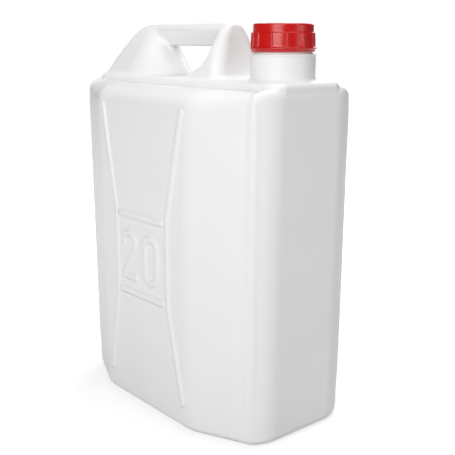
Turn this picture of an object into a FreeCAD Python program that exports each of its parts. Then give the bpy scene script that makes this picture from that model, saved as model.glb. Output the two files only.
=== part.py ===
"""Twenty-litre plastic water jug: a blow-moulded can with a grip handle, and its screw cap.

Frame: X runs along the can, the neck is towards +X, the face with the figures looks towards -Y,
Z is up. The origin is on the ground under the middle of the can. Lengths are in millimetres.
"""

import FreeCAD, Part

import os

import Sketcher
from FreeCAD import Placement, Rotation, Vector

SIZES = {
    # the can: its plan is a flat-sided oval of eight facets
    "can_length": 327.0,
    "can_depth": 190.0,
    "can_height": 378.0,
    "panel_length": 168.0,
    "end_width": 123.0,
    "foot_narrowing": 5.0,
    "panel_bulge": 2.8,
    "post_radius": 14.0,
    "crease_radius": 40.0,
    "foot_radius": 8.0,
    # the narrow deck on top of the can, and the lower cheeks beside it
    "deck_width": 98.0,
    "deck_rise": 8.0,
    "deck_edge_radius": 5.0,
    "cheek_radius": 13.0,
    # the neck, its rim bead and the narrower seat that carries the cap
    "neck_inset": 43.5,
    "neck_radius": 33.2,
    "neck_rise": 27.0,
    "bead_width": 0.7,
    "bead_height": 2.0,
    "seat_inset": 2.9,
    "seat_rise": 4.6,
    # the cap: a flange, a ribbed grip, and a plain band above a step
    "cap_height": 25.0,
    "flange_overhang": 0.6,
    "flange_height": 1.6,
    "grip_inset": 1.1,
    "cap_lean": 0.9,
    "cap_step": 0.7,
    "band_height": 8.2,
    "cap_edge_radius": 2.0,
    "rib_width": 2.2,
    "rib_height": 0.9,
    "rib_count": 12,
    # the grip handle: a block between the can's back end and the neck, tapered upwards
    "handle_rise": 58.0,
    "handle_inset": 5.5,
    "handle_neck_gap": 29.3,
    "handle_back_slope": 46.5,
    "handle_front_slope": 7.0,
    "handle_foot_width": 70.0,
    "handle_top_width": 17.6,
    "handle_edge_radius": 9.0,
    # the window through the handle, and the grip bar above it
    "window_back_wall": 89.0,
    "window_front_wall": 29.5,
    "grip_height": 25.0,
    "window_corner_radius": 7.0,
    "window_edge_radius": 11.0,
    # the raised ridges, cross rails and figures on both broad faces
    "relief_height": 1.9,
    "ridge_width": 4.4,
    "ridge_foot_inset": 29.0,
    "ridge_head_inset": 31.0,
    "ridge_foot_reach": 69.0,
    "ridge_head_reach": 72.0,
    "waist_reach": 47.0,
    "waist_low": 137.0,
    "waist_height": 93.5,
    "rail_width": 7.0,
    "rail_near_gap": 2.8,
    "rail_far_gap": 4.3,
    "figure_height": 57.0,
    "figure_width": 31.0,
    "figure_stroke": 6.4,
    "figure_gap": 10.0,
    "figure_shift": -6.2,
}

# places that several sub-parts share, worked out from the sizes
WAIST_HIGH = "(Size.waist_low + Size.waist_height)"
NECK_PLACE = "(Size.can_length / 2 - Size.neck_inset)"
SEAT_LEVEL = "(Size.can_height + Size.neck_rise + Size.seat_rise)"
FIGURE_LOW = "(Size.waist_low + (Size.waist_height - Size.figure_height) / 2)"
HANDLE_BACK = "(-Size.can_length / 2 + Size.handle_inset)"
HANDLE_FRONT = f"({NECK_PLACE} - Size.neck_radius - Size.handle_neck_gap)"
WINDOW_BACK = f"({HANDLE_BACK} + Size.window_back_wall)"
WINDOW_FRONT = f"({HANDLE_FRONT} - Size.window_front_wall)"
HANDLE_CREST = "(Size.can_height + Size.handle_rise)"
WINDOW_ROOF = f"({HANDLE_CREST} - Size.grip_height)"

doc = FreeCAD.newDocument("water_jug")


def make_sheet():
    """Write the sizes to the sheet that every object of the document reads."""
    sheet = doc.addObject("Spreadsheet::Sheet", "Size")
    for row, (name, value) in enumerate(SIZES.items(), start=1):
        sheet.set(f"A{row}", str(value))
        sheet.setAlias(f"A{row}", name)
    doc.recompute()
    return sheet


sheet = make_sheet()


def value(formula):
    """The number that a formula of the sheet gives now."""
    result = sheet.evalExpression(formula)
    return float(getattr(result, "Value", result))


def origin_plane(body, role):
    """One of the three planes of a body's origin."""
    return next(item for item in body.Origin.OriginFeatures if item.Role == role)


def body_sketch(body, name, role, offset=None):
    """A sketch on an origin plane of its own body, moved by the formulas in offset."""
    sketch = body.newObject("Sketcher::SketchObject", name)
    sketch.AttachmentSupport = (origin_plane(body, role), [""])
    sketch.MapMode = "FlatFace"
    for axis, formula in (offset or {}).items():
        sketch.setExpression(f"AttachmentOffset.Base.{axis}", formula)
    return sketch


def bind(sketch, kind, geometry, end, formula):
    """Hold one point of a sketch at a formula's distance from the sketch's own axes."""
    index = sketch.addConstraint(
        Sketcher.Constraint(kind, -1, 1, geometry, end, value(formula))
    )
    sketch.setExpression(f"Constraints[{index}]", formula)


def draw_lines(sketch, corners, closed=True):
    """Straight lines through the corners, each corner a pair of formulas of the sheet."""
    first = sketch.GeometryCount
    spots = [Vector(value(x), value(y), 0) for x, y in corners]
    last = len(spots) if closed else len(spots) - 1
    for index in range(last):
        sketch.addGeometry(Part.LineSegment(spots[index], spots[(index + 1) % len(spots)]))
    for index in range(last):
        after = (index + 1) % len(spots)
        if closed or after < last:
            sketch.addConstraint(
                Sketcher.Constraint("Coincident", first + index, 2, first + after, 1)
            )
    for index, (x, y) in enumerate(corners):
        line, end = (first + index, 1) if index < last else (first + last - 1, 2)
        bind(sketch, "DistanceX", line, end, x)
        bind(sketch, "DistanceY", line, end, y)


def rectangle(x_low, x_high, y_low, y_high):
    """The corners of a rectangle between four formulas."""
    return [(x_low, y_low), (x_high, y_low), (x_high, y_high), (x_low, y_high)]


def edges_where(feature, test):
    """The names of a feature's edges whose box passes the test."""
    return [
        f"Edge{number}"
        for number, edge in enumerate(feature.Shape.Edges, start=1)
        if test(edge.BoundBox)
    ]


def round_edges(body, name, radius, test):
    """Round those edges of the body's last feature whose box passes the test."""
    doc.recompute()
    base = body.Tip
    fillet = body.newObject("PartDesign::Fillet", name)
    fillet.Base = (base, edges_where(base, test))
    fillet.setExpression("Radius", radius)
    doc.recompute()
    return fillet


# ---- the can ------------------------------------------------------------------------------


def can_section(body, name, height, narrowing, bulge):
    """One level of the can: eight corners, four to a side."""
    sketch = body_sketch(body, name, "XY_Plane", {"z": height})
    end_x = f"(Size.can_length / 2 - {narrowing})"
    panel_x = f"(Size.panel_length / 2 - {narrowing} / 2)"
    panel_y = f"(Size.can_depth / 2 + {bulge})"
    end_y = "(Size.end_width / 2)"
    draw_lines(
        sketch,
        [
            (end_x, "-" + end_y),
            (end_x, end_y),
            (panel_x, panel_y),
            ("-" + panel_x, panel_y),
            ("-" + end_x, end_y),
            ("-" + end_x, "-" + end_y),
            ("-" + panel_x, "-" + panel_y),
            (panel_x, "-" + panel_y),
        ],
    )
    return sketch


def make_can(body):
    """The barrel-sided can with its cheeks cut down beside the deck."""
    narrow = "Size.foot_narrowing"
    levels = [
        can_section(body, "can_foot", "0 * Size.can_height", narrow, "0 * Size.panel_bulge"),
        can_section(body, "can_waist", "Size.can_height / 2", f"{narrow} / 2", "Size.panel_bulge"),
        can_section(body, "can_top", "Size.can_height", f"0 * {narrow}", "0 * Size.panel_bulge"),
    ]
    can = body.newObject("PartDesign::AdditiveLoft", "can")
    can.Profile = levels[0]
    can.Sections = levels[1:]
    doc.recompute()

    cheeks = body_sketch(body, "cheek_outline", "XY_Plane", {"z": "Size.can_height"})
    inner = "Size.deck_width / 2"
    outer = "Size.can_depth"
    for low, high in ((f"-{outer}", f"-({inner})"), (inner, outer)):
        draw_lines(cheeks, rectangle("-Size.can_length", "Size.can_length", low, high))
    cut = body.newObject("PartDesign::Pocket", "cheeks")
    cut.Profile = cheeks
    cut.setExpression("Length", "Size.deck_rise")
    doc.recompute()


def round_can(body):
    """Round the posts, the creases beside the broad faces, the foot and the cheeks."""
    height = value("Size.can_height")
    half_panel = value("(Size.panel_length + Size.can_length) / 4")
    cheek_level = value("Size.can_height - Size.deck_rise")

    def upright(box):
        return box.ZLength > height / 2

    def level(box, z):
        return box.ZLength < 0.5 and abs(box.ZMin - z) < 0.5

    def outside_deck(box):
        reach = max(abs(box.YMin), abs(box.YMax))
        return reach > value("Size.deck_width / 2") + 0.5

    round_edges(
        body,
        "creases",
        "Size.crease_radius",
        lambda box: upright(box) and max(abs(box.XMin), abs(box.XMax)) < half_panel,
    )
    round_edges(
        body,
        "cheek_edge",
        "Size.cheek_radius",
        lambda box: level(box, cheek_level) and outside_deck(box),
    )
    round_edges(
        body, "posts", "Size.post_radius", lambda box: upright(box) and abs(box.XMin) > half_panel
    )
    round_edges(body, "foot_edge", "Size.foot_radius", lambda box: level(box, 0))
    round_edges(body, "deck_edge", "Size.deck_edge_radius", lambda box: level(box, height))


# ---- the handle ---------------------------------------------------------------------------


def make_handle(body):
    """A block that tapers upwards on all sides, with a rounded window through it."""
    foot = body_sketch(body, "handle_foot", "XY_Plane", {"z": "Size.can_height"})
    draw_lines(
        foot,
        rectangle(
            HANDLE_BACK,
            HANDLE_FRONT,
            "-Size.handle_foot_width / 2",
            "Size.handle_foot_width / 2",
        ),
    )
    top = body_sketch(body, "handle_top", "XY_Plane", {"z": HANDLE_CREST})
    draw_lines(
        top,
        rectangle(
            f"{HANDLE_BACK} + Size.handle_back_slope",
            f"{HANDLE_FRONT} - Size.handle_front_slope",
            "-Size.handle_top_width / 2",
            "Size.handle_top_width / 2",
        ),
    )
    block = body.newObject("PartDesign::AdditiveLoft", "handle")
    block.Profile = foot
    block.Sections = [top]
    block.Ruled = True
    doc.recompute()

    window = body_sketch(body, "window_outline", "XZ_Plane")
    draw_lines(
        window,
        rectangle(WINDOW_BACK, WINDOW_FRONT, "Size.can_height", WINDOW_ROOF),
    )
    hole = body.newObject("PartDesign::Pocket", "window")
    hole.Profile = window
    hole.Midplane = True
    hole.setExpression("Length", "2 * Size.handle_foot_width")
    doc.recompute()


def round_handle(body):
    """Round the window and the outer edges of the handle."""
    deck = value("Size.can_height")
    roof = value(WINDOW_ROOF)
    crest = value(HANDLE_CREST)
    back = value(WINDOW_BACK)
    front = value(WINDOW_FRONT)
    top_width = value("Size.handle_top_width")

    def near(a, b):
        return abs(a - b) < 0.5

    def window_corner(box):
        return near(box.ZMin, roof) and box.XLength < 0.5 and box.YLength > 5

    def window_rim(box):
        inside = back - 1 < box.XMin and box.XMax < front + 1 and box.ZMax < roof + 1
        return inside and box.ZMax > deck + 1 and box.YLength < top_width

    def outer(box):
        rises = near(box.ZMax, crest) and near(box.ZMin, deck)
        return rises or (near(box.ZMin, crest) and near(box.ZMax, crest))

    round_edges(body, "window_corners", "Size.window_corner_radius", window_corner)
    round_edges(body, "window_edge", "Size.window_edge_radius", window_rim)
    round_edges(body, "handle_edge", "Size.handle_edge_radius", outer)


# ---- the neck -----------------------------------------------------------------------------


def make_neck(body):
    """The round neck with a bead at its rim and a narrower seat for the cap."""
    sketch = body_sketch(body, "neck_profile", "XZ_Plane", {"x": NECK_PLACE})
    axis = "0 * Size.neck_radius"
    root = "Size.can_height - Size.deck_rise"
    rim = "Size.can_height + Size.neck_rise"
    bead = "Size.neck_radius + Size.bead_width"
    seat = "Size.neck_radius - Size.seat_inset"
    draw_lines(
        sketch,
        [
            (axis, root),
            ("Size.neck_radius", root),
            ("Size.neck_radius", f"{rim} - Size.bead_height"),
            (bead, f"{rim} - Size.bead_height * 2 / 3"),
            (bead, f"{rim} - Size.bead_height / 3"),
            ("Size.neck_radius", rim),
            (seat, rim),
            (seat, SEAT_LEVEL),
            (axis, SEAT_LEVEL),
        ],
    )
    neck = body.newObject("PartDesign::Revolution", "neck")
    neck.Profile = sketch
    neck.ReferenceAxis = (sketch, ["V_Axis"])
    neck.Angle = 360
    doc.recompute()


# ---- the raised strokes -------------------------------------------------------------------


def face_sketch(name, turn):
    """An empty upright sketch in the middle plane, turned to look out at one broad face."""
    sketch = doc.addObject("Sketcher::SketchObject", name)
    sketch.Placement = Placement(
        Vector(), Rotation(Vector(0, 0, 1), turn) * Rotation(Vector(1, 0, 0), 90)
    )
    return sketch


def run_out(name, outline, turn):
    """Run an outline from the middle plane out past one broad face."""
    bar = doc.addObject("Part::Extrusion", name)
    bar.Base = outline
    bar.DirMode = "Custom"
    bar.Dir = Rotation(Vector(0, 0, 1), turn).multVec(Vector(0, -1, 0))
    bar.Solid = True
    bar.setExpression("LengthFwd", "Size.can_depth")
    return bar


def widen(name, path, width):
    """The outline of a line of even width with round ends, along a path."""
    outline = doc.addObject("Part::Offset2D", f"{name}_outline")
    outline.Source = path
    outline.Mode = "Pipe"
    outline.Fill = True
    outline.setExpression("Value", f"{width} / 2")
    return outline


def ridge_corners(side):
    """The path of one long ridge, wide at both ends and straight at the waist."""
    return [
        (f"{side} * Size.ridge_foot_reach", "Size.ridge_foot_inset"),
        (f"{side} * Size.waist_reach", "Size.waist_low"),
        (f"{side} * Size.waist_reach", WAIST_HIGH),
        (f"{side} * Size.ridge_head_reach", "Size.can_height - Size.ridge_head_inset"),
    ]


def ridge(name, turn, side):
    """One long ridge: a line of even width."""
    path = face_sketch(f"{name}_path", turn)
    draw_lines(path, ridge_corners(side), closed=False)
    return run_out(name, widen(name, path, "Size.ridge_width"), turn)


def rail(name, turn, level):
    """A cross rail between the waists of the two ridges, short of both."""
    outline = face_sketch(f"{name}_outline", turn)
    inner = "Size.waist_reach - Size.ridge_width / 2"
    draw_lines(
        outline,
        rectangle(
            f"-({inner} - Size.rail_near_gap)",
            f"{inner} - Size.rail_far_gap",
            f"{level} - Size.rail_width / 2",
            f"{level} + Size.rail_width / 2",
        ),
    )
    return run_out(name, outline, turn)


def figure_two(name, turn):
    """The figure 2: a bow, a slant tangent to it and a flat base."""
    path = face_sketch(f"{name}_path", turn)
    reach = "(Size.figure_width - Size.figure_stroke) / 2"
    centre_x = "Size.figure_shift - (Size.figure_width + Size.figure_gap) / 2"
    centre_y = f"{FIGURE_LOW} + Size.figure_height - Size.figure_stroke / 2 - {reach}"
    base_y = f"{FIGURE_LOW} + Size.figure_stroke / 2"
    middle = Vector(value(centre_x), value(centre_y), 0)
    radius = value(reach)
    corner = Vector(middle.x - radius, value(base_y), 0)
    circle = Part.Circle(middle, Vector(0, 0, 1), radius)
    path.addGeometry(Part.ArcOfCircle(circle, -0.6, 3.0))
    path.addGeometry(Part.LineSegment(path.Geometry[0].StartPoint, corner))
    path.addGeometry(Part.LineSegment(corner, corner + Vector(2 * radius, 0, 0)))
    path.addConstraint(Sketcher.Constraint("Tangent", 0, 1, 1, 1))
    path.addConstraint(Sketcher.Constraint("Coincident", 1, 2, 2, 1))
    bind(path, "DistanceX", 0, 3, centre_x)
    bind(path, "DistanceY", 0, 3, centre_y)
    size = path.addConstraint(Sketcher.Constraint("Radius", 0, radius))
    path.setExpression(f"Constraints[{size}]", reach)
    path.addConstraint(Sketcher.Constraint("Horizontal", 0, 2, 0, 3))
    bind(path, "DistanceX", 2, 1, f"{centre_x} - {reach}")
    bind(path, "DistanceY", 2, 1, base_y)
    bind(path, "DistanceX", 2, 2, f"{centre_x} + {reach}")
    path.addConstraint(Sketcher.Constraint("Horizontal", 2))
    return run_out(name, widen(name, path, "Size.figure_stroke"), turn)


def draw_slot(sketch, centre_x, low_y, high_y, radius):
    """An upright slot: two straight sides and a half circle at each end."""
    first = sketch.GeometryCount
    reach = value(radius)
    low = Vector(value(centre_x), value(low_y), 0)
    high = Vector(value(centre_x), value(high_y), 0)
    side = Vector(reach, 0, 0)
    up = Vector(0, 0, 1)
    sketch.addGeometry(Part.ArcOfCircle(Part.Circle(high, up, reach), 0, 3.14159265))
    sketch.addGeometry(Part.LineSegment(high - side, low - side))
    sketch.addGeometry(Part.ArcOfCircle(Part.Circle(low, up, reach), 3.14159265, 6.2831853))
    sketch.addGeometry(Part.LineSegment(low + side, high + side))
    for one, end, other, start in ((0, 2, 1, 1), (1, 2, 2, 1), (2, 2, 3, 1), (3, 2, 0, 1)):
        sketch.addConstraint(
            Sketcher.Constraint("Tangent", first + one, end, first + other, start)
        )
    for arc, level in ((first, high_y), (first + 2, low_y)):
        bind(sketch, "DistanceX", arc, 3, centre_x)
        bind(sketch, "DistanceY", arc, 3, level)
    size = sketch.addConstraint(Sketcher.Constraint("Radius", first, reach))
    sketch.setExpression(f"Constraints[{size}]", radius)


def figure_nought(name, turn):
    """The figure 0: an upright ring with straight sides."""
    outline = face_sketch(f"{name}_outline", turn)
    outer = "Size.figure_width / 2"
    centre_x = "Size.figure_shift + (Size.figure_width + Size.figure_gap) / 2"
    low = f"{FIGURE_LOW} + {outer}"
    high = f"{FIGURE_LOW} + Size.figure_height - {outer}"
    draw_slot(outline, centre_x, low, high, outer)
    draw_slot(outline, centre_x, low, high, f"{outer} - Size.figure_stroke")
    return run_out(name, outline, turn)


def make_strokes():
    """The strokes of both broad faces, each face read from its own side."""
    strokes = []
    for face, turn in (("front", 0), ("rear", 180)):
        for hand, side in (("left", -1), ("right", 1)):
            strokes.append(ridge(f"{face}_{hand}_ridge", turn, side))
        for place, level in (("low", "Size.waist_low"), ("high", WAIST_HIGH)):
            strokes.append(rail(f"{face}_{place}_rail", turn, level))
        strokes.append(figure_two(f"{face}_two", turn))
        strokes.append(figure_nought(f"{face}_nought", turn))
    bars = doc.addObject("Part::MultiFuse", "strokes")
    bars.Shapes = strokes
    return bars


def make_relief():
    """The strokes cut off at an even height above the bulging faces."""
    slab = doc.addObject("PartDesign::Body", "relief_slab")
    half_x = "Size.panel_length / 2"
    levels = []
    for name, height, bulge in (
        ("slab_foot", "0 * Size.can_height", "0 * Size.panel_bulge"),
        ("slab_waist", "Size.can_height / 2", "Size.panel_bulge"),
        ("slab_top", "Size.can_height", "0 * Size.panel_bulge"),
    ):
        sketch = body_sketch(slab, name, "XY_Plane", {"z": height})
        half_y = f"(Size.can_depth / 2 + {bulge} + Size.relief_height)"
        draw_lines(sketch, rectangle("-" + half_x, half_x, "-" + half_y, half_y))
        levels.append(sketch)
    loft = slab.newObject("PartDesign::AdditiveLoft", "slab")
    loft.Profile = levels[0]
    loft.Sections = levels[1:]
    relief = doc.addObject("Part::Common", "relief")
    relief.Base = slab
    relief.Tool = make_strokes()
    doc.recompute()
    return relief


# ---- the screw cap ------------------------------------------------------------------------


def make_cap():
    """The cap: a flange, a ribbed grip, a plain band above a step and a rounded top edge."""
    body = doc.addObject("PartDesign::Body", "screw_cap")
    body.Label = "screw_cap"
    top = f"{SEAT_LEVEL} + Size.cap_height"
    step = f"{top} - Size.band_height"
    grip_low = f"{SEAT_LEVEL} + Size.flange_height"
    axis = "0 * Size.neck_radius"
    flange = "Size.neck_radius + Size.flange_overhang"
    grip = "(Size.neck_radius - Size.grip_inset)"
    profile = body_sketch(body, "cap_profile", "XZ_Plane", {"x": NECK_PLACE})
    draw_lines(
        profile,
        [
            (axis, SEAT_LEVEL),
            (flange, SEAT_LEVEL),
            (flange, f"{SEAT_LEVEL} + Size.flange_height / 2"),
            (grip, grip_low),
            (f"{grip} - Size.cap_lean / 2", step),
            (f"{grip} - Size.cap_lean / 2 - Size.cap_step", step),
            (f"{grip} - Size.cap_lean - Size.cap_step", top),
            (axis, top),
        ],
    )
    turned = body.newObject("PartDesign::Revolution", "cap_turned")
    turned.Profile = profile
    turned.ReferenceAxis = (profile, ["V_Axis"])
    turned.Angle = 360

    rib = body_sketch(body, "rib_outline", "XY_Plane", {"x": NECK_PLACE, "z": grip_low})
    half_width = "Size.rib_width / 2"
    draw_lines(
        rib,
        rectangle(
            f"{grip} / 2", f"{grip} + Size.rib_height", f"-{half_width}", half_width
        ),
    )
    pad = body.newObject("PartDesign::Pad", "grip_rib")
    pad.Profile = rib
    pad.setExpression("Length", "Size.cap_height - Size.flange_height - Size.band_height")
    ring = body.newObject("PartDesign::PolarPattern", "grip_ribs")
    ring.Originals = [pad]
    ring.Axis = (rib, ["N_Axis"])
    ring.Angle = 360
    ring.setExpression("Occurrences", "Size.rib_count")
    body.Tip = ring
    crown = value(top)
    round_edges(
        body,
        "cap_edge",
        "Size.cap_edge_radius",
        lambda box: box.ZMin > crown - 0.5 and box.XLength > 5,
    )
    return body


# ---- the whole jug ------------------------------------------------------------------------


def make_jug():
    """The moulded can with its handle, neck and raised strokes, as one solid."""
    form = doc.addObject("PartDesign::Body", "jug_form")
    form.Label = "jug_form"
    make_can(form)
    round_can(form)
    make_handle(form)
    round_handle(form)
    make_neck(form)
    jug = doc.addObject("Part::MultiFuse", "jug_body")
    jug.Shapes = [form, make_relief()]
    jug.Label = "jug_body"
    return jug


def check(parts):
    """Stop at any object that failed and at any sub-part without one sound solid."""
    for item in doc.Objects:
        if {"Invalid", "Error"} & set(item.State):
            raise RuntimeError(f"{item.Name} did not recompute: {item.State}")
    for part in parts:
        shape = part.Shape
        if shape.isNull() or not shape.isValid() or len(shape.Solids) != 1:
            raise RuntimeError(f"{part.Label} is not one valid solid")


def export(parts):
    """Write each sub-part under its own name."""
    os.makedirs("parts", exist_ok=True)
    for part in parts:
        part.Shape.exportStep(f"parts/{part.Label}.step")
        box = part.Shape.BoundBox
        litres = part.Shape.Volume / 1e6
        print(f"{part.Label}: {litres:.3f} l, {box}")


pieces = [make_jug(), make_cap()]
doc.recompute()
check(pieces)
export(pieces)
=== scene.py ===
"""The looks of a white plastic water jug with a red screw cap.

The white moulding, its neck apart, is one mesh, worked out from a distance field: f(x, y, z) is
below zero inside the plastic, and smooth joins between its parts give the soft edges of a blown
bottle. The neck and the cap are turned shapes. Lengths of the jug are millimetres, and MM makes them metres.
Lengths of the floor, the lamps and the camera are metres.
"""

import math

import bpy
import numpy as np
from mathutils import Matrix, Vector


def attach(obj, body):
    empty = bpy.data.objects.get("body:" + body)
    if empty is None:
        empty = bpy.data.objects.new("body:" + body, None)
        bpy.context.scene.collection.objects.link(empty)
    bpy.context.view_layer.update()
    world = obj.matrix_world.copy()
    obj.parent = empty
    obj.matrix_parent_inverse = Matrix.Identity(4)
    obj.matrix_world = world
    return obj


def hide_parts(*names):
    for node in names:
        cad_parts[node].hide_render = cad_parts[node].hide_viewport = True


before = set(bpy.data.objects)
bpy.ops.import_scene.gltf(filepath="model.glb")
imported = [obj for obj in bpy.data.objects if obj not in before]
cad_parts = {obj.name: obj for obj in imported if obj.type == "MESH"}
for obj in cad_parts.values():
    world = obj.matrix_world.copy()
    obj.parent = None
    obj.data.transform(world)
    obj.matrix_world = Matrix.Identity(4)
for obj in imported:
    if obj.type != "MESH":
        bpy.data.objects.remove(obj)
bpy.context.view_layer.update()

MM = 0.001

# A pair called SPAN or LEVELS says where a change begins and ends, along X or in height.
# A name with HALF in it is half a length, width, depth or thickness.

# ---- the can --------------------------------------------------------------------------------

CAN_HALF_LENGTH = 163.0  # at the top
FOOT_SCALE = 0.0303  # how much shorter the can is at its foot, as a share
CAN_HEIGHT = 378.0
CHEEK_HEIGHT = 370.0  # the top of the can beside the deck
PANEL_HALF_DEPTH = 94.7  # to the broad faces, without their swell
PANEL_BULGE = 2.8  # how far the broad faces swell out
SWELL_LEVEL = 185.0  # where they swell most, and how far up and down the swell reaches
FACET_SWELL = 0.6  # the share of the swell that the facets take
FACET_TILT = math.radians(22.85)
FACET_OUT = 119.8  # from the can's upright axis to a facet
END_FLAT_HALF = 37.0  # half width of the flat of an end face
END_ROUND = 42.0  # the radius by which an end face curves back beyond its flat
END_ROUND_SHARE = 0.9  # how much of that radius is used, sideways
END_BLEND = 4.0
CREASE_BLEND = 3.3  # the soft edge between a broad face and a facet

POST_AT = (146.5, 60.4)
POST_RADIUS = 8.5
POST_SHRINK = 0.8  # how much thinner a post is where it runs out
POST_BLEND = 1.0
POST_FOOT_LEVELS = (28, 60)
POST_HEAD_LEVELS = (364, 340)
GROOVE_AT = 142.5
GROOVE_DEPTH = 0.8
GROOVE_WIDTH = 3.0

CHEEK_RADIUS = 20.0  # the round top edge over a broad face
CORNER_RADIUS = 13.0  # the same edge at the corners
CORNER_SPAN = (105, 150)
SHOULDER_RISE = 5.5  # how much higher the can's top lies at both ends
SHOULDER_SPAN = (140, 161)
FOOT_RADIUS = 9.0

DECK_HALF_WIDTH = 48.8
DECK_CORNER = 18.0
DECK_EDGE = 6.0
DECK_INSET = 0.5  # how far the deck's ends stay inside the end faces
DECK_ROOT = 352.0  # the deck ends softly below this height
DECK_ROOT_SLOPE = 0.3
DECK_BLEND = 0.8
SEAM_DEPTH = 1.2
SEAM_WIDTH = 1.3
SEAM_OUT = 0.6  # from the deck's side out to the seam
SEAM_LEVELS = (345, 366)
SEAM_END_SPAN = (142, 160)
END_MARGIN = 0.3  # nothing stands out further than this past the end faces

# ---- the handle -----------------------------------------------------------------------------

CREST = 435.9
HANDLE_ROOT = 362.0  # the handle ends inside the can at this height
BACK_FOOT = -160.0  # where its back meets the deck
BACK_SLOPE = 43.0  # how far the back leans in over the handle's height
FRONT_FOOT = 58.5
FRONT_SLOPE = 12.0
HANDLE_FOOT_HALF = 37.0  # half the thickness at the foot
FLANK_START = 5.0  # the flanks lean in from this height over the deck
FLANK_LEAN = 0.25
FLANK_CURVE = 0.0048
FLANK_EVEN = 0.95  # keeps the field near a true distance on the leaning flanks
CREST_BACK_EDGE = 8.0
CREST_FRONT_EDGE = 4.0
HANDLE_EDGE = 8.0  # the edge between crest and flank
FRONT_EDGE = 13.0  # the same edge on the front post
FRONT_EDGE_SPAN = (15, 40)
FRONT_EDGE_LEVELS = (428, 408)
HANDLE_FILLET = 8.0  # where the handle stands on the can

WALL_TIP = -70.5  # the hole's back wall at its top, in the middle plane
WALL_WEDGE = 0.15  # how fast that wall falls back towards the flanks
WALL_MARGIN = 16.0  # it falls back faster from this far inside a flank
WALL_BEVEL = 0.6  # how much faster, at the hole's top
WALL_LEAN = 0.03  # and how much more for each millimetre down
WALL_EVEN = 1.4  # keeps the field near a true distance on that wall
SADDLE_SLOPE = 0.7  # how fast the wall comes forward, going down
SADDLE_CURVE = 0.0135
SADDLE_HALF_WIDTH = 18.0  # where the saddle is half as strong, sideways
HOLE_REACH = 40.0  # the walls stop changing this far below the hole's top
FRONT_WALL = 35.3
FRONT_WALL_ROUND = 28.0
HOLE_CORNER = 12.0
HOLE_TOP = 412.0
ROOF_BLEND = 4.0
BAR_HALF = 4.0  # half width of the flat under the grip
BAR_FLARE = 1.6  # how fast the grip's underside rises beyond that flat
BACK_RIM = 11.0  # how soft the hole's rim is at the back
FRONT_RIM = 4.0
RIM_SPAN = (-60, 0)

# ---- the relief on the broad faces ------------------------------------------------------------

RELIEF_HEIGHT = 1.9
RELIEF_EDGE = 1.5
RELIEF_ROOT = 6.0  # how deep the strokes reach into the can
RELIEF_FILLET = 2.4
RIDGE_HALF = 3.0
FIGURE_HALF = 3.6
RAIL_HALF = 3.5
RAIL_CORNER = 1.5
RIDGE_LINE = ((70.5, 30.8), (48.2, 137.2), (48.2, 231.0), (73.5, 348.0))
RAIL_ENDS = (-42.8, 41.9)
RAIL_HEIGHTS = (138.2, 228.4)
FIGURE_REACH = 11.3  # half a figure's width, to the middle of its stroke
FIGURE_LOW = 156.0
FIGURE_HIGH = 206.5
TWO_AT = -23.4
NOUGHT_AT = 17.6
BOW_TAIL = -0.6  # the angle at which the bow of the 2 passes into its slant, in radians
BOW_TIP = -3.0  # the angle at which the bow begins, on the left

# ---- the neck and the cap ---------------------------------------------------------------------
# Profile points are (radius, height).

NECK_AT = 120.0
PINHOLE = 0.4  # turned shapes stay open within this radius of the axis
NECK_RADIUS = 33.2
NECK_ROOT = 372.0
# the foot of the neck, with radii over the neck's own
NECK_FLARE = ((1.2, NECK_ROOT), (5.0, 377.2))
FLARE_ROUND = 4.5
FLARE_LEVEL = 382.2
NECK_WALL = (384.0, 402.6)  # heights between which the wall is straight
RIM_INSET = 0.9  # from the neck's wall in to the middle of the rim's round edge
RIM_LEVEL = 403.4
RIM_ROUND = 1.5
NECK_MOUTH = ((31.0, 404.9), (30.1, 404.5), (29.8, 405.5), (29.8, 408.8), (PINHOLE, 408.8))
NECK_SEGMENTS = 192
NECK_GAP = 1.6  # the longest step along the neck's profile

CAP_FOOT = 409.6
CROWN = 434.55
# heights over the cap's foot
CAP_LIP = ((PINHOLE, 0.4), (29.9, 0.4), (30.3, -2.6), (32.2, -2.6), (32.4, 0), (33.2, 0))
CAP_GRIP = ((32.5, 1.9), (32.1, 3.0), (31.5, 15.6), (31.0, 16.2), (30.7, 16.4), (30.6, 17.2))
FLANGE_RADIUS = 33.0
FLANGE_ROUND = 0.8
CROWN_RADIUS = 28.2
CROWN_ROUND = 2.2
# heights over the crown
CAP_TOP = ((26.7, 0), (25.9, -0.35), (PINHOLE, -0.35))
CAP_SEGMENTS = 600
CAP_GAP = 0.9  # the longest step along the cap's profile

RIB_COUNT = 12
RIB_TURN = math.radians(5.5)
RIB_RADIUS = 32.0  # where a rib's width is measured
RIB_HALF = 1.2
RIB_SOFT_OUT = 0.7  # a rib's side begins this far outside its half width
RIB_SOFT_IN = 0.5  # and is at full height this far inside
RIB_HEIGHT = 1.0
# heights over the cap's foot
RIB_FOOT_LEVELS = (1.6, 3.2)
RIB_HEAD_LEVELS = (16.3, 15.5)

# ---- the grid of the distance field: (start, end, spacing) --------------------------------------

GRID_X = ((-168, -80, 3.4), (-80, 80, 1.85), (80, 168, 3.4))
GRID_Y = ((-104, -88, 2.4), (-88, -38, 3.7), (-38, 38, 2.2), (38, 88, 3.7), (88, 104, 2.4))
GRID_Z = (
    (-2.6, 15.6, 2.6),
    (15.6, 128, 2.9),
    (128, 238, 1.9),
    (238, 350, 2.9),
    (350, 438.2, 2.1),
)

# ---- plastic, floor, light and camera -----------------------------------------------------------

CLOUD_SCALE = 14.0
CLOUD_DETAIL = 3.0
POLISH_SCALE = 45.0
POLISH_DETAIL = 4.0
GRAIN_DETAIL = 2.0
GRAIN_DEPTH = 0.0002  # metres

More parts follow.
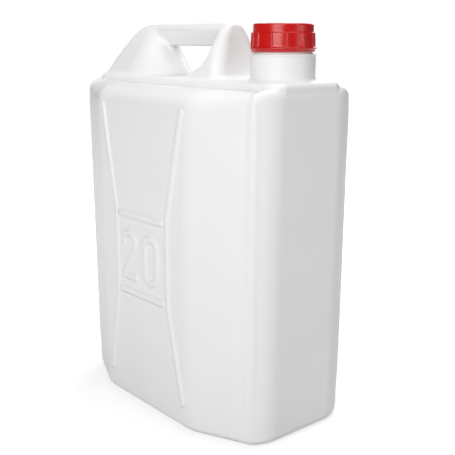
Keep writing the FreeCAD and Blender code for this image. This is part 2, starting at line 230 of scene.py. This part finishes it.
FLOOR_SIZE = 12
FLOOR_LEVEL = -0.0002
FLOOR_GREY = 0.5
FLOOR_ROUGHNESS = 0.9
FLOOR_LIFT = 0.6  # the floor's own light near the jug; further off it is 1
LIFT_NEAR = 0.2
LIFT_FAR = 0.9
WORLD_LIGHT = 0.12

LAMP_CENTRE = 0.2  # the height that the lamps stand round
# name, azimuth, elevation, distance, the height it aims at, size, power
LAMPS = (
    ("key", 26, 25, 2.2, 0.22, 1.3, 37.0),
    ("top", 180, 78, 2.2, 0.3, 1.3, 29.0),
    ("side", 112, 12, 2.2, 0.2, 1.2, 8.0),
    ("back", 215, 30, 2.4, 0.2, 1.3, 16.0),
)

CAMERA_AZIMUTH = 49.873
CAMERA_ELEVATION = 13.455
CAMERA_DISTANCE = 0.9089
CAMERA_TARGET = (0.0328, 0, 0.2080)
CAMERA_LENS = 62.37  # millimetres
CAMERA_SENSOR = 36  # millimetres
CAMERA_CLIP = (0.05, 50)


def smooth_step(low, high, value):
    """Zero below low, one above high, and smooth between."""
    t = np.clip((value - low) / (high - low), 0, 1)
    return t * t * (3 - 2 * t)


def join(a, b, k):
    """Both solids together, with a soft inside corner."""
    return np.minimum(a, b) - np.maximum(k - np.abs(a - b), 0) ** 2 / (4 * k)


def common(a, b, k):
    """What two solids share, with a soft edge."""
    return -join(-a, -b, k)


def round_edge(a, b, radius):
    """What two solids share, with the edge between them rounded to a radius."""
    inner = np.minimum(np.maximum(a, b) + radius, 0)
    outer = np.hypot(np.maximum(a + radius, 0), np.maximum(b + radius, 0))
    return inner + outer - radius


def round_box(px, py, half_x, half_y, radius):
    """The distance to a rectangle with round corners, in a plane."""
    dx = np.abs(px) - half_x + radius
    dy = np.abs(py) - half_y + radius
    return (
        np.hypot(np.maximum(dx, 0), np.maximum(dy, 0))
        + np.minimum(np.maximum(dx, dy), 0)
        - radius
    )


def line_distance(px, py, start, end):
    """The distance to a straight line from start to end, in a plane."""
    ax, ay = start
    bx, by = end[0] - ax, end[1] - ay
    t = np.clip(((px - ax) * bx + (py - ay) * by) / (bx * bx + by * by), 0, 1)
    return np.hypot(px - ax - t * bx, py - ay - t * by)


def rails(q, z):
    """The two cross rails, above and below the figures."""
    middle = sum(RAIL_ENDS) / 2
    half = (RAIL_ENDS[1] - RAIL_ENDS[0]) / 2
    return np.minimum.reduce(
        [round_box(q - middle, z - level, half, RAIL_HALF, RAIL_CORNER) for level in RAIL_HEIGHTS]
    )


def nought(q, z):
    """The figure 0."""
    middle, tall = (FIGURE_LOW + FIGURE_HIGH) / 2, (FIGURE_HIGH - FIGURE_LOW) / 2
    ring = round_box(q - NOUGHT_AT, z - middle, FIGURE_REACH, tall, FIGURE_REACH)
    return np.abs(ring) - FIGURE_HALF


def two(q, z):
    """The figure 2: a bow, a slant and a base."""
    level = FIGURE_HIGH - FIGURE_REACH
    turn = np.arctan2(z - level, q - TWO_AT)
    on_bow = (turn > BOW_TAIL) | (turn < BOW_TIP)
    bow = np.abs(np.hypot(q - TWO_AT, z - level) - FIGURE_REACH)
    tail = (
        TWO_AT + FIGURE_REACH * math.cos(BOW_TAIL),
        level + FIGURE_REACH * math.sin(BOW_TAIL),
    )
    tip = (TWO_AT - FIGURE_REACH, level)
    ends = np.minimum(np.hypot(q - tail[0], z - tail[1]), np.hypot(q - tip[0], z - tip[1]))
    bow = np.where(on_bow, bow, ends)
    corner = (TWO_AT - FIGURE_REACH, FIGURE_LOW)
    slant = line_distance(q, z, tail, corner)
    base = line_distance(q, z, corner, (TWO_AT + FIGURE_REACH, FIGURE_LOW))
    return np.minimum.reduce([bow, slant, base]) - FIGURE_HALF


def strokes(q, z):
    """The distance to the raised strokes of a broad face, q reading from left to right."""
    side = np.abs(q)
    ridges = np.minimum.reduce(
        [line_distance(side, z, a, b) for a, b in zip(RIDGE_LINE, RIDGE_LINE[1:])]
    )
    return np.minimum.reduce([ridges - RIDGE_HALF, rails(q, z), nought(q, z), two(q, z)])


def with_posts(sides, end, across, depth, z):
    """The can's plan: its sides and ends, with grooves and soft posts at the corners."""
    upright = smooth_step(*POST_FOOT_LEVELS, z) * smooth_step(*POST_HEAD_LEVELS, z)
    groove = np.exp(-(((across - GROOVE_AT) / GROOVE_WIDTH) ** 2))
    plan = common(sides + GROOVE_DEPTH * groove * upright, end, END_BLEND)
    post = np.hypot(across - POST_AT[0], depth - POST_AT[1]) - POST_RADIUS
    return join(plan, post + POST_SHRINK * (1 - upright), POST_BLEND)


def with_deck(body, across, y, z, end):
    """The can with the raised narrow deck on it, and the fine seam round the deck."""
    plan = round_box(across, y, CAN_HALF_LENGTH, DECK_HALF_WIDTH, DECK_CORNER)
    plan = np.maximum(plan, end + DECK_INSET)
    deck = round_edge(plan, z - CAN_HEIGHT, DECK_EDGE)
    deck = np.maximum(deck, (DECK_ROOT - z) * DECK_ROOT_SLOPE)
    seam = np.exp(-(((plan - SEAM_OUT) / SEAM_WIDTH) ** 2)) * smooth_step(*SEAM_LEVELS, z)
    corner = smooth_step(*SEAM_END_SPAN, across)
    return join(body + SEAM_DEPTH * seam * (1 - corner), deck, DECK_BLEND)


def can_field(x, y, z):
    """The can without its handle: an eight-sided plan, soft corner posts, relief and deck."""
    scale = 1 - FOOT_SCALE * (1 - z / CAN_HEIGHT)
    across, depth = np.abs(x) / scale, np.abs(y)
    swell = PANEL_BULGE * np.clip(1 - ((z - SWELL_LEVEL) / SWELL_LEVEL) ** 2, 0, 1)
    panel = depth - PANEL_HALF_DEPTH - swell
    facet = math.sin(FACET_TILT) * across + math.cos(FACET_TILT) * depth
    facet = facet - FACET_OUT - FACET_SWELL * swell
    beyond = np.clip(depth - END_FLAT_HALF, 0, END_ROUND_SHARE * END_ROUND)
    fall = END_ROUND - np.sqrt(END_ROUND**2 - beyond**2)
    end = across - CAN_HALF_LENGTH + fall
    end = end * np.sqrt(END_ROUND**2 - beyond**2) / END_ROUND
    plan = with_posts(common(panel, facet, CREASE_BLEND), end, across, depth, z)

    cheek = CHEEK_RADIUS + (CORNER_RADIUS - CHEEK_RADIUS) * smooth_step(*CORNER_SPAN, across)
    shoulder = CHEEK_HEIGHT + SHOULDER_RISE * smooth_step(*SHOULDER_SPAN, across)
    body = round_edge(plan, z - shoulder, cheek)
    body = round_edge(body, -z, FOOT_RADIUS)

    reading = np.where(y < 0, x, -x)
    raised = round_edge(strokes(reading, z), panel - RELIEF_HEIGHT, RELIEF_EDGE)
    raised = np.maximum(raised, -panel - RELIEF_ROOT)
    body = join(body, raised, RELIEF_FILLET)
    return with_deck(body, across, y, z, end)


def flank_half(z):
    """Half the handle's thickness at a height."""
    up = np.maximum(z - CAN_HEIGHT - FLANK_START, 0)
    return HANDLE_FOOT_HALF - FLANK_LEAN * up - FLANK_CURVE * up * up


def hole_field(x, y, z):
    """The hand hole: a wedge-shaped back wall on a saddle, a round front wall, a tapered bar."""
    side, drop = np.abs(y), np.clip(HOLE_TOP - z, 0, HOLE_REACH)
    saddle = SADDLE_SLOPE * drop + SADDLE_CURVE * drop**2
    saddle = saddle / (1 + (side / SADDLE_HALF_WIDTH) ** 2)
    outer = np.maximum(side - flank_half(z) + WALL_MARGIN, 0)
    bevel = (WALL_BEVEL + WALL_LEAN * drop) * outer
    back = (WALL_TIP - WALL_WEDGE * side - bevel + saddle - x) / WALL_EVEN
    bend = np.sqrt(np.maximum(FRONT_WALL_ROUND**2 - drop**2, 1))
    front = x - FRONT_WALL + FRONT_WALL_ROUND - bend
    flare = BAR_FLARE * np.maximum(side - BAR_HALF, 0)
    roof = (z - HOLE_TOP - flare) / math.hypot(1, BAR_FLARE)
    return common(common(back, front, HOLE_CORNER), roof, ROOF_BLEND)


def handle_field(x, y, z):
    """The handle: a tapered block with round edges, with the hand hole cut through it."""
    rise, up = CREST - CAN_HEIGHT, z - CAN_HEIGHT
    back = (-(x - BACK_FOOT) * rise + up * BACK_SLOPE) / math.hypot(BACK_SLOPE, rise)
    front = ((x - FRONT_FOOT) * rise + up * FRONT_SLOPE) / math.hypot(FRONT_SLOPE, rise)
    outline = round_edge(z - CREST, back, CREST_BACK_EDGE)
    outline = round_edge(outline, front, CREST_FRONT_EDGE)
    flank = (np.abs(y) - flank_half(z)) * FLANK_EVEN
    at_post = smooth_step(*FRONT_EDGE_SPAN, x) * smooth_step(*FRONT_EDGE_LEVELS, z)
    edge = HANDLE_EDGE + (FRONT_EDGE - HANDLE_EDGE) * at_post
    handle = round_edge(outline, flank, edge)
    rim = BACK_RIM + (FRONT_RIM - BACK_RIM) * smooth_step(*RIM_SPAN, x)
    handle = common(handle, -hole_field(x, y, z), rim)
    return np.maximum(handle, HANDLE_ROOT - z)


def jug_field(x, y, z):
    """The whole white moulding, neck apart."""
    jug = join(can_field(x, y, z), handle_field(x, y, z), HANDLE_FILLET)
    return np.maximum(jug, np.abs(x) - CAN_HALF_LENGTH - END_MARGIN)


def steps(*runs):
    """Grid lines: each run is (start, end, spacing)."""
    lines = []
    for start, end, gap in runs:
        count = max(1, round((end - start) / gap))
        lines.extend(start + (end - start) * i / count for i in range(count))
    lines.append(runs[-1][1])
    return np.array(lines)


def crossings(values, axes):
    """For each cell, the sum and the number of the points where the surface cuts its edges."""
    inside = values < 0
    shape = tuple(n - 1 for n in values.shape)
    total = np.zeros(shape + (3,))
    count = np.zeros(shape)
    grid = np.meshgrid(*axes, indexing="ij")
    for axis in range(3):
        low, high = [slice(None)] * 3, [slice(None)] * 3
        low[axis], high[axis] = slice(None, -1), slice(1, None)
        low, high = tuple(low), tuple(high)
        crossed = inside[low] != inside[high]
        a, b = values[low], values[high]
        t = np.where(crossed, a / np.where(crossed, a - b, 1), 0)
        points = [np.where(crossed, g[low] + t * (g[high] - g[low]), 0) for g in grid]
        others = [n for n in range(3) if n != axis]
        for one in (slice(None, -1), slice(1, None)):
            for other in (slice(None, -1), slice(1, None)):
                part = [slice(None)] * 3
                part[others[0]], part[others[1]] = one, other
                part = tuple(part)
                count += crossed[part]
                for n in range(3):
                    total[..., n] += points[n][part]
    return total, count


def edge_quads(inside, number):
    """One quad round each grid edge that the surface crosses, facing out of the plastic."""
    quads = []
    for axis in range(3):
        low, high = [slice(1, -1)] * 3, [slice(1, -1)] * 3
        low[axis], high[axis] = slice(None, -1), slice(1, None)
        a, b = inside[tuple(low)], inside[tuple(high)]
        where = np.argwhere(a != b)
        one, other = [n for n in range(3) if n != axis]
        where[:, one] += 1
        where[:, other] += 1
        ring = []
        for d_one, d_other in ((-1, -1), (0, -1), (0, 0), (-1, 0)):
            cell = where.copy()
            cell[:, one] += d_one
            cell[:, other] += d_other
            ring.append(number[cell[:, 0], cell[:, 1], cell[:, 2]])
        ring = np.stack(ring, 1)
        out = a[a != b] if axis != 1 else ~a[a != b]
        ring[~out] = ring[~out][:, ::-1]
        quads.append(ring)
    return np.concatenate(quads)


def surface_net(values, axes):
    """The mesh of a field's surface, with one vertex in each cell that the surface crosses."""
    total, count = crossings(values, axes)
    active = count > 0
    number = np.full(count.shape, -1)
    number[active] = np.arange(active.sum())
    vertices = total[active] / count[active][:, None]
    return vertices, edge_quads(values < 0, number)


def slope(field, points, reach=0.25):
    """The field's gradient at each point."""
    result = np.empty_like(points)
    for n in range(3):
        ahead, behind = points.copy(), points.copy()
        ahead[:, n] += reach
        behind[:, n] -= reach
        result[:, n] = (field(*ahead.T) - field(*behind.T)) / (2 * reach)
    return result


def settle(field, points, most=1.0, rounds=3):
    """Points moved onto the surface along the field's slope, at most a given way each round."""
    flattest, shortest = 0.1, 1e-9  # no division by less
    for _ in range(rounds):
        gradient = slope(field, points)
        size = np.maximum((gradient**2).sum(1), flattest)
        step = gradient * (-field(*points.T) / size)[:, None]
        length = np.maximum(np.linalg.norm(step, axis=1), shortest)
        points = points + step * np.minimum(1, most / length)[:, None]
    return points


def mesh_piece(name, vertices, faces, material, node=None, normals=None):
    """A mesh object in metres, riding on the jug's one body."""
    mesh = bpy.data.meshes.new(name)
    count = len(vertices)
    mesh.vertices.add(count)
    mesh.vertices.foreach_set("co", (np.asarray(vertices) * MM).ravel())
    faces = np.asarray(faces)
    mesh.loops.add(faces.size)
    mesh.loops.foreach_set("vertex_index", faces.ravel())
    mesh.polygons.add(len(faces))
    mesh.polygons.foreach_set("loop_start", np.arange(0, faces.size, faces.shape[1]))
    mesh.polygons.foreach_set("use_smooth", np.ones(len(faces), bool))
    mesh.update(calc_edges=True)
    mesh.validate()
    if normals is not None:
        mesh.normals_split_custom_set_from_vertices(normals)
    mesh.materials.append(material)
    piece = bpy.data.objects.new(name, mesh)
    bpy.context.scene.collection.objects.link(piece)
    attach(piece, "root")
    if node:
        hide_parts(node)
    return piece


def make_shell(material):
    """The white moulding."""
    axes = (steps(*GRID_X), steps(*GRID_Y), steps(*GRID_Z))
    values = jug_field(*np.meshgrid(*axes, indexing="ij"))
    vertices, quads = surface_net(values, axes)
    vertices = settle(jug_field, vertices)
    normals = slope(jug_field, vertices)
    normals /= np.linalg.norm(normals, axis=1)[:, None]
    return mesh_piece(
        "jug_shell", vertices, quads, material, "jug_body", normals
    )


def turned(profile, segments, wave=None):
    """A shape turned about the neck's axis. Where a wave is given, it moves the surface out."""
    angles = np.linspace(0, 2 * math.pi, segments, endpoint=False)
    rings = []
    for radius, height in profile:
        reach = np.full(segments, radius)
        if wave is not None:
            reach = reach + wave(angles, height)
        x, y = NECK_AT + reach * np.cos(angles), reach * np.sin(angles)
        rings.append(np.stack([x, y, np.full(segments, height)], 1))
    ring = np.arange(segments)
    after = (ring + 1) % segments
    faces = []
    for row in range(len(profile) - 1):
        low, high = row * segments, (row + 1) * segments
        faces.append(np.stack([low + ring, low + after, high + after, high + ring], 1))
    return np.concatenate(rings), np.concatenate(faces)


def arc(centre, radius, start, end, count):
    """Points of a round profile edge, from one angle to another, in degrees."""
    return [
        (
            centre[0] + radius * math.cos(math.radians(a)),
            centre[1] + radius * math.sin(math.radians(a)),
        )
        for a in np.linspace(start, end, count)
    ]


def fine(profile, gap=0.8):
    """The profile with its long straight runs divided."""
    points = [profile[0]]
    for a, b in zip(profile, profile[1:]):
        count = max(1, math.ceil(math.dist(a, b) / gap))
        for i in range(1, count + 1):
            t = i / count
            points.append((a[0] + (b[0] - a[0]) * t, a[1] + (b[1] - a[1]) * t))
    return points


def over(level, points):
    """Profile points whose heights are given over a level."""
    return [(radius, level + height) for radius, height in points]


def make_neck(material):
    """The round neck under the cap: a flared foot, a straight wall, a rim and a mouth."""
    radius = NECK_RADIUS
    profile = [(PINHOLE, NECK_ROOT)]
    profile += [(radius + out, height) for out, height in NECK_FLARE]
    profile += arc((radius + FLARE_ROUND, FLARE_LEVEL), FLARE_ROUND, 268, 182, 10)
    profile += [(radius, height) for height in NECK_WALL]
    profile += arc((radius - RIM_INSET, RIM_LEVEL), RIM_ROUND, -20, 90, 8)
    profile += NECK_MOUTH
    vertices, faces = turned(fine(profile, NECK_GAP), NECK_SEGMENTS)
    return mesh_piece("jug_neck", vertices, faces, material)


def ribs(angles, height):
    """How far the cap's ribs stand out at a height."""
    up = height - CAP_FOOT
    share = smooth_step(*RIB_FOOT_LEVELS, up) * smooth_step(*RIB_HEAD_LEVELS, up)
    pitch = 2 * math.pi / RIB_COUNT
    place = (angles + RIB_TURN + pitch / 2) % pitch - pitch / 2
    far = np.abs(place) * RIB_RADIUS
    return share * RIB_HEIGHT * smooth_step(RIB_HALF + RIB_SOFT_OUT, RIB_HALF - RIB_SOFT_IN, far)


def make_cap(material):
    """The ribbed screw cap: a flange, a grip with thin ribs, and a plain round-edged top."""
    profile = over(CAP_FOOT, CAP_LIP)
    profile += arc((FLANGE_RADIUS, CAP_FOOT + FLANGE_ROUND), FLANGE_ROUND, -90, 90, 8)
    profile += over(CAP_FOOT, CAP_GRIP)
    profile += arc((CROWN_RADIUS, CROWN - CROWN_ROUND), CROWN_ROUND, 0, 90, 10)
    profile += over(CROWN, CAP_TOP)
    vertices, faces = turned(fine(profile, CAP_GAP), CAP_SEGMENTS, ribs)
    return mesh_piece("red_cap", vertices, faces, material, "screw_cap")


def link(tree, start, end):
    """One wire between two sockets."""
    tree.links.new(start, end)


def noise(tree, scale, detail, where):
    """Noise over the object's own coordinates, in metres times scale."""
    node = tree.nodes.new("ShaderNodeTexNoise")
    node.inputs["Scale"].default_value = scale
    node.inputs["Detail"].default_value = detail
    link(tree, where, node.inputs["Vector"])
    return node.outputs["Fac"]


def ramp(tree, value, low, high):
    """The value from 0 to 1 turned into one from low to high."""
    node = tree.nodes.new("ShaderNodeMapRange")
    node.inputs["To Min"].default_value = low
    node.inputs["To Max"].default_value = high
    link(tree, value, node.inputs["Value"])
    return node.outputs["Result"]


def mix_colours(tree, value, first, second):
    """The first colour where the value is 0, the second where it is 1."""
    node = tree.nodes.new("ShaderNodeMix")
    node.data_type = "RGBA"
    node.inputs["A"].default_value = (*first, 1)
    node.inputs["B"].default_value = (*second, 1)
    link(tree, value, node.inputs["Factor"])
    return node.outputs["Result"]


def plastic(name, first, second, rough, grain, bump, specular):
    """Moulded plastic: cloudy colour, uneven polish and a fine grained skin."""
    material = bpy.data.materials.new(name)
    material.use_nodes = True
    tree = material.node_tree
    shader = tree.nodes["Principled BSDF"]
    where = tree.nodes.new("ShaderNodeTexCoord").outputs["Object"]
    cloud = noise(tree, CLOUD_SCALE, CLOUD_DETAIL, where)
    link(tree, mix_colours(tree, cloud, first, second), shader.inputs["Base Color"])
    patches = noise(tree, POLISH_SCALE, POLISH_DETAIL, where)
    link(tree, ramp(tree, patches, *rough), shader.inputs["Roughness"])
    skin = noise(tree, grain, GRAIN_DETAIL, where)
    relief = tree.nodes.new("ShaderNodeBump")
    relief.inputs["Strength"].default_value = bump
    relief.inputs["Distance"].default_value = GRAIN_DEPTH
    link(tree, skin, relief.inputs["Height"])
    link(tree, relief.outputs["Normal"], shader.inputs["Normal"])
    shader.inputs["Specular IOR Level"].default_value = specular
    return material


def direction(azimuth, elevation):
    """The way out from the jug; azimuth 0 faces the front panel and 90 the neck end."""
    az, el = math.radians(azimuth), math.radians(elevation)
    return math.sin(az) * math.cos(el), -math.cos(az) * math.cos(el), math.sin(el)


def soft_light(name, azimuth, elevation, distance, aim, size, power):
    """A square soft box that stands round the jug and aims at a height on its axis."""
    data = bpy.data.lights.new(name, "AREA")
    data.shape = "SQUARE"
    data.size = size
    data.energy = power
    lamp = bpy.data.objects.new(name, data)
    bpy.context.scene.collection.objects.link(lamp)
    x, y, z = direction(azimuth, elevation)
    place = Vector((distance * x, distance * y, LAMP_CENTRE + distance * z))
    lamp.location = place
    lamp.rotation_euler = (Vector((0, 0, aim)) - place).to_track_quat("-Z", "Y").to_euler()


def maths(tree, operation, first, second):
    """Two sockets put together by MAXIMUM or MULTIPLY."""
    node = tree.nodes.new("ShaderNodeMath")
    node.operation = operation
    link(tree, first, node.inputs[0])
    link(tree, second, node.inputs[1])
    return node.outputs[0]


def for_rays(tree, first, second):
    """One for two kinds of ray, nought for the others."""
    path = tree.nodes.new("ShaderNodeLightPath")
    return maths(tree, "MAXIMUM", path.outputs[first], path.outputs[second])


def make_floor():
    """A pale floor that keeps the jug's shadow."""
    bpy.ops.mesh.primitive_plane_add(size=FLOOR_SIZE, location=(0, 0, FLOOR_LEVEL))
    floor = bpy.context.object
    floor.name = "floor"
    material = bpy.data.materials.new("floor_white")
    material.use_nodes = True
    tree = material.node_tree
    shader = tree.nodes["Principled BSDF"]
    shader.inputs["Base Color"].default_value = (FLOOR_GREY, FLOOR_GREY, FLOOR_GREY, 1)
    shader.inputs["Roughness"].default_value = FLOOR_ROUGHNESS
    shader.inputs["Specular IOR Level"].default_value = 0.0
    seen = for_rays(tree, "Is Camera Ray", "Is Glossy Ray")
    far = tree.nodes.new("ShaderNodeVectorMath")
    far.operation = "LENGTH"
    link(tree, tree.nodes.new("ShaderNodeTexCoord").outputs["Object"], far.inputs[0])
    glow = tree.nodes.new("ShaderNodeMapRange")
    glow.inputs["From Min"].default_value = LIFT_NEAR
    glow.inputs["From Max"].default_value = LIFT_FAR
    glow.inputs["To Min"].default_value = FLOOR_LIFT
    link(tree, far.outputs["Value"], glow.inputs["Value"])
    lift = maths(tree, "MULTIPLY", seen, glow.outputs["Result"])
    shader.inputs["Emission Color"].default_value = (1, 1, 1, 1)
    link(tree, lift, shader.inputs["Emission Strength"])
    floor.data.materials.append(material)


def make_world():
    """Even pale light, seen as plain white."""
    world = bpy.data.worlds.new("studio")
    bpy.context.scene.world = world
    world.use_nodes = True
    tree = world.node_tree
    background = tree.nodes["Background"]
    background.inputs["Color"].default_value = (1, 1, 1, 1)
    seen = for_rays(tree, "Is Camera Ray", "Is Transmission Ray")
    link(tree, ramp(tree, seen, WORLD_LIGHT, 1.0), background.inputs["Strength"])


def make_camera():
    """The photograph's point of view."""
    back = Vector(direction(CAMERA_AZIMUTH, CAMERA_ELEVATION))
    data = bpy.data.cameras.new("camera")
    data.sensor_width = CAMERA_SENSOR
    data.lens = CAMERA_LENS
    data.clip_start, data.clip_end = CAMERA_CLIP
    camera = bpy.data.objects.new("camera", data)
    bpy.context.scene.collection.objects.link(camera)
    camera.location = Vector(CAMERA_TARGET) + back * CAMERA_DISTANCE
    camera.rotation_euler = back.to_track_quat("Z", "Y").to_euler()
    bpy.context.scene.camera = camera


white = plastic(
    "white_polyethylene",
    first=(0.80, 0.80, 0.80),
    second=(0.84, 0.84, 0.84),
    rough=(0.36, 0.46),
    grain=900.0,
    bump=0.10,
    specular=0.42,
)
red = plastic(
    "red_polypropylene",
    first=(0.50, 0.002, 0.002),
    second=(0.56, 0.004, 0.003),
    rough=(0.22, 0.32),
    grain=1400.0,
    bump=0.08,
    specular=0.5,
)
make_shell(white)
make_neck(white)
make_cap(red)
make_floor()
make_world()
for lamp in LAMPS:
    soft_light(*lamp)
make_camera()

bpy.context.scene.view_settings.view_transform = "Standard"
